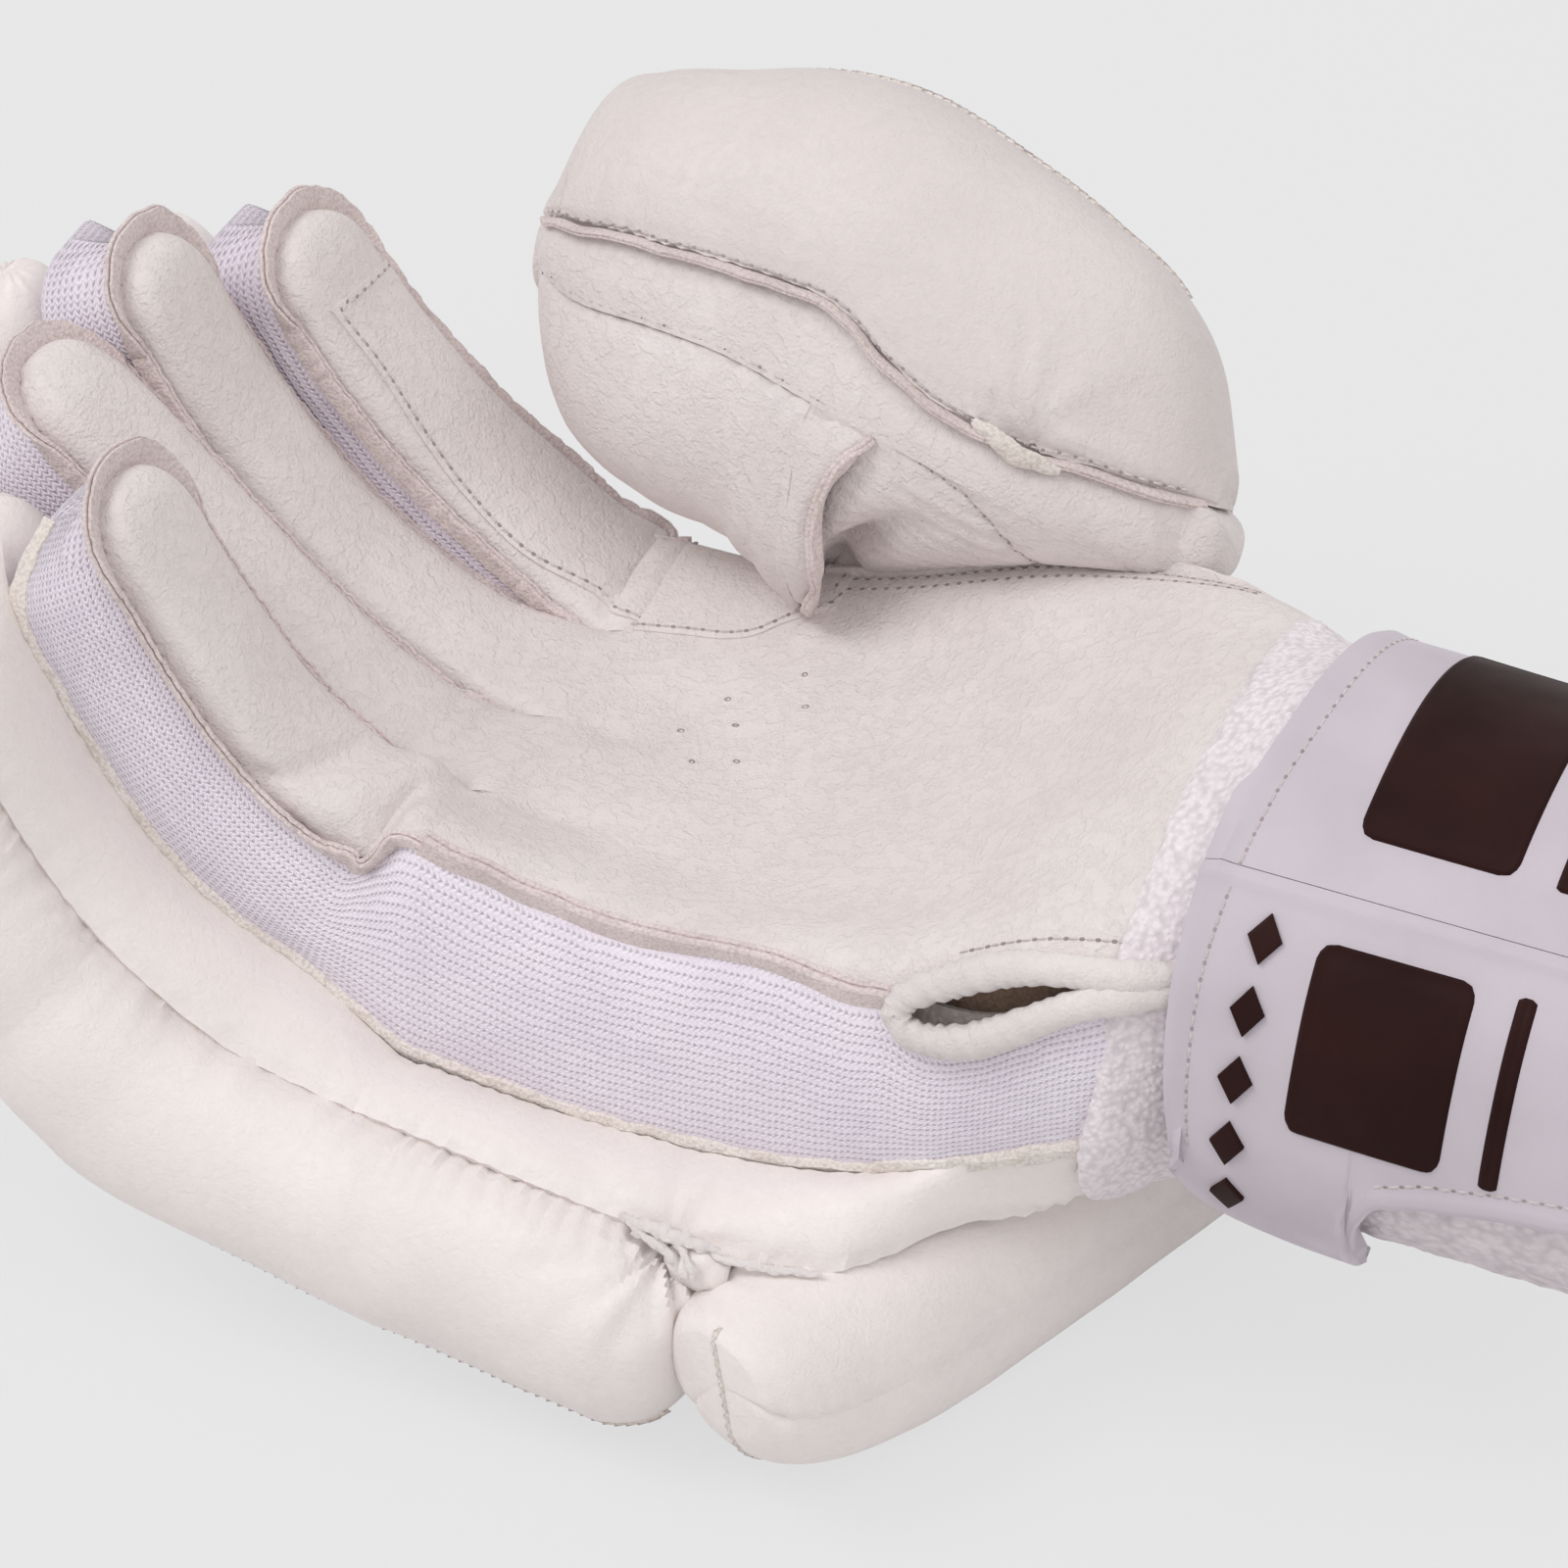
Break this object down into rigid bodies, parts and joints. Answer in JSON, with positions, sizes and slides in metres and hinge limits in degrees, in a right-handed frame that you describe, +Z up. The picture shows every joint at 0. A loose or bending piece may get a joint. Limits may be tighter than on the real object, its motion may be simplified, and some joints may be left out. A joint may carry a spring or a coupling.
{
  "type": "batting glove",
  "caption": "Right-hand padded batting glove lying palm up: leather palm, knit side gusset, padded finger rolls and thumb shell, terry cuff and peel-open wrist strap.",
  "frame": {"origin": "middle of the flat under the padded roll behind the middle finger, on the surface that the glove lies on", "axes": "+X from the fingers to the wrist, +Y to the thumb side, +Z up out of the palm"},
  "size_m": [0.2795, 0.1708, 0.1319],
  "materials": {
    "palm_leather": "matt off-white calf leather",
    "patch_leather": "matt off-white calf leather, double layer",
    "shell_leather": "smooth off-white leather over foam",
    "stall_leather": "matt off-white calf leather",
    "roll_leather": "smooth white leather over foam",
    "knit": "lilac-white rib knit",
    "lining": "soft cotton lining",
    "terry": "towelling",
    "strap_rubber": "satin moulded rubber, lilac grey",
    "band_rubber": "satin moulded rubber, dark brown",
    "binding_leather": "soft rolled leather",
    "hook_tape": "hook tape",
    "guard_plate": "fibre plate"
  },
  "bodies": {
    "palm": {"palm_leather": "palm_leather", "palm_patch": "patch_leather", "ulnar_knit": "knit", "back_leather": "roll_leather", "palm_lining": "lining", "back_lining": "lining", "radial_front_leather": "palm_leather", "radial_rear_leather": "palm_leather", "flank_hand": "roll_leather", "heel_panel": "roll_leather", "outer_roll_hand": "roll_leather", "knuckle_roll_index": "roll_leather", "knuckle_roll_middle": "roll_leather", "knuckle_roll_ring": "roll_leather", "knuckle_roll_little": "roll_leather", "wrist_roll": "roll_leather", "slit_binding": "binding_leather", "terry_cuff": "terry", "loop_patch": "terry", "strap_base": "strap_rubber", "strap_base_band": "band_rubber", "thumb_web": "stall_leather", "thumb_back_web": "stall_leather"},
    "flap": {"strap_flap": "strap_rubber", "strap_flap_band": "band_rubber", "hook_patch": "hook_tape"},
    "thumb": {"thumb_strip_inner": "stall_leather", "thumb_strip_outer": "stall_leather", "thumb_palm_leather": "stall_leather", "thumb_guard_plate": "guard_plate", "thumb_shell": "shell_leather"},
    "index_lower": {"index_lower_palm_leather": "palm_leather", "index_lower_knit_gusset": "knit", "index_lower_roll": "roll_leather"},
    "index_upper": {"index_upper_palm_leather": "palm_leather", "index_upper_knit_gusset": "knit", "index_upper_roll": "roll_leather", "index_patch": "patch_leather"},
    "middle_lower": {"middle_lower_palm_leather": "palm_leather", "middle_lower_knit_gusset": "knit", "middle_lower_roll": "roll_leather"},
    "middle_upper": {"middle_upper_palm_leather": "palm_leather", "middle_upper_knit_gusset": "knit", "middle_upper_roll": "roll_leather"},
    "ring_lower": {"ring_lower_palm_leather": "palm_leather", "ring_lower_knit_gusset": "knit", "ring_lower_roll": "roll_leather"},
    "ring_upper": {"ring_upper_palm_leather": "palm_leather", "ring_upper_knit_gusset": "knit", "ring_upper_roll": "roll_leather"},
    "little_lower": {"little_lower_palm_leather": "palm_leather", "little_lower_knit_gusset": "knit", "little_lower_roll": "roll_leather", "outer_roll_lower": "roll_leather", "flank_lower": "roll_leather"},
    "little_upper": {"little_upper_palm_leather": "palm_leather", "little_upper_knit_gusset": "knit", "little_upper_roll": "roll_leather", "outer_roll_upper": "roll_leather", "flank_upper": "roll_leather"}
  },
  "joints": [
    {"name": "flap_peel", "type": "hinge", "parent": "palm", "child": "flap", "pos_m": [0.106, -0.03978, 0.09448], "axis": [-1, 0, 0], "range_deg": [0, 100]},
    {"name": "thumb_root", "type": "hinge", "parent": "palm", "child": "thumb", "pos_m": [0.046, 0.0312, 0.0776], "axis": [0, 0.8, -0.6], "range_deg": [0, 20], "stiffness_Nm_per_rad": 1.5},
    {"name": "index_root", "type": "hinge", "parent": "palm", "child": "index_lower", "pos_m": [-0.042, 0.0235, 0.052], "axis": [0, 1, 0], "range_deg": [-10, 12], "stiffness_Nm_per_rad": 0.8},
    {"name": "index_knee", "type": "hinge", "parent": "index_lower", "child": "index_upper", "pos_m": [-0.07506, 0.0235, 0.07602], "axis": [0, 1, 0], "range_deg": [-10, 12], "stiffness_Nm_per_rad": 0.4},
    {"name": "middle_root", "type": "hinge", "parent": "palm", "child": "middle_lower", "pos_m": [-0.045, 0, 0.052], "axis": [0, 1, 0], "range_deg": [-10, 26], "stiffness_Nm_per_rad": 0.8},
    {"name": "middle_knee", "type": "hinge", "parent": "middle_lower", "child": "middle_upper", "pos_m": [-0.08581, 0, 0.07652], "axis": [0, 1, 0], "range_deg": [-10, 26], "stiffness_Nm_per_rad": 0.4},
    {"name": "ring_root", "type": "hinge", "parent": "palm", "child": "ring_lower", "pos_m": [-0.045, -0.022, 0.052], "axis": [0, 1, 0], "range_deg": [-10, 26], "stiffness_Nm_per_rad": 0.8},
    {"name": "ring_knee", "type": "hinge", "parent": "ring_lower", "child": "ring_upper", "pos_m": [-0.08159, -0.022, 0.07576], "axis": [0, 1, 0], "range_deg": [-10, 26], "stiffness_Nm_per_rad": 0.4},
    {"name": "little_root", "type": "hinge", "parent": "palm", "child": "little_lower", "pos_m": [-0.043, -0.044, 0.058], "axis": [0, 1, 0], "range_deg": [-10, 26], "stiffness_Nm_per_rad": 0.8},
    {"name": "little_knee", "type": "hinge", "parent": "little_lower", "child": "little_upper", "pos_m": [-0.07109, -0.044, 0.07767], "axis": [0, 1, 0], "range_deg": [-10, 26], "stiffness_Nm_per_rad": 0.4}
  ],
  "couplings": [
    {"joint": "index_knee", "follows": "index_root", "ratio": 1},
    {"joint": "middle_knee", "follows": "middle_root", "ratio": 1},
    {"joint": "ring_knee", "follows": "ring_root", "ratio": 1},
    {"joint": "little_knee", "follows": "little_root", "ratio": 1}
  ]
}
